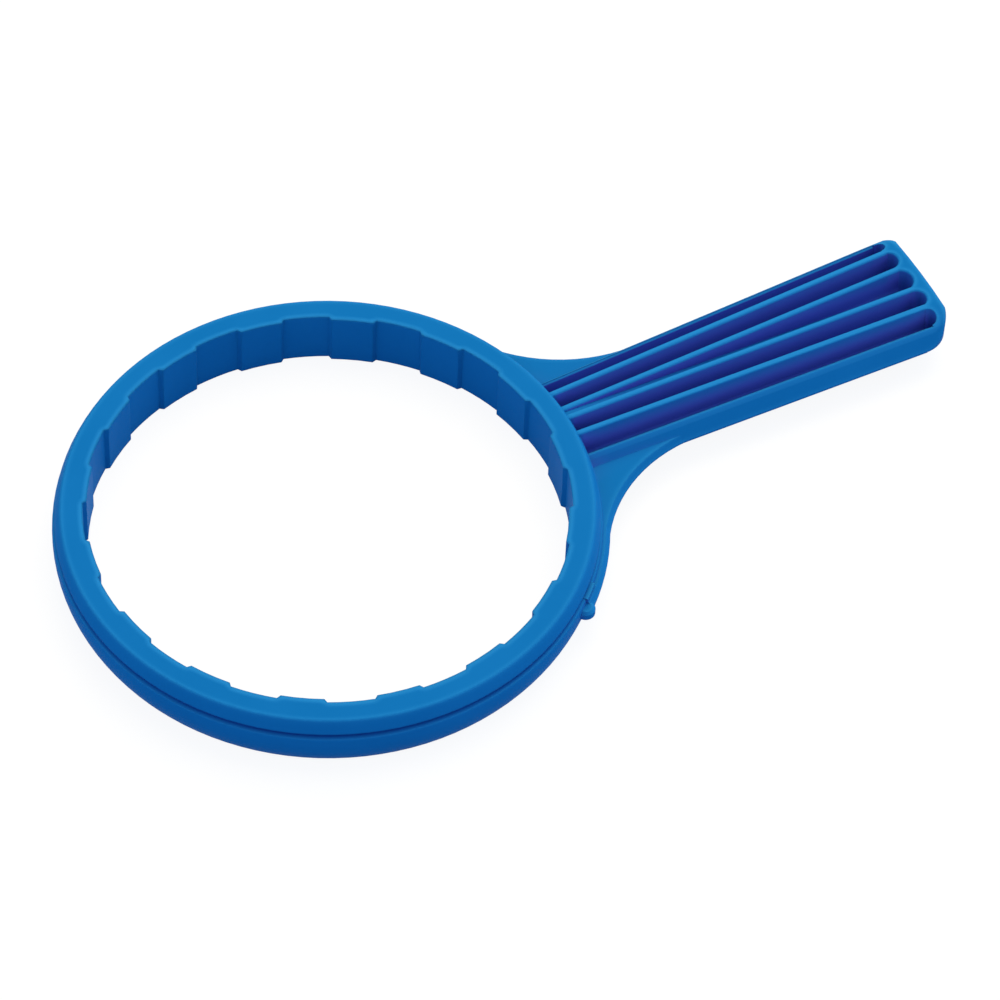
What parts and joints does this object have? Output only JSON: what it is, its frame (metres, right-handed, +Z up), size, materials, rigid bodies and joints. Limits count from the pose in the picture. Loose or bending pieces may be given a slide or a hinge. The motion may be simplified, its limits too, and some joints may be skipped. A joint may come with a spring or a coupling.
{
  "type": "filter housing wrench",
  "caption": "One-piece moulded plastic ring wrench with inner grip lugs and a ribbed, fluted handle, for unscrewing the round bowl of a water filter housing.",
  "frame": {"origin": "on the ring's axis, at the flat face that the wrench rests on", "axes": "+Z up along the ring's axis, +X along the handle away from the ring"},
  "size_m": [0.2506, 0.1432, 0.0162],
  "materials": {
    "blue_plastic": "satin moulded plastic"
  },
  "bodies": {
    "root": {"wrench_body": "blue_plastic"}
  },
  "joints": []
}
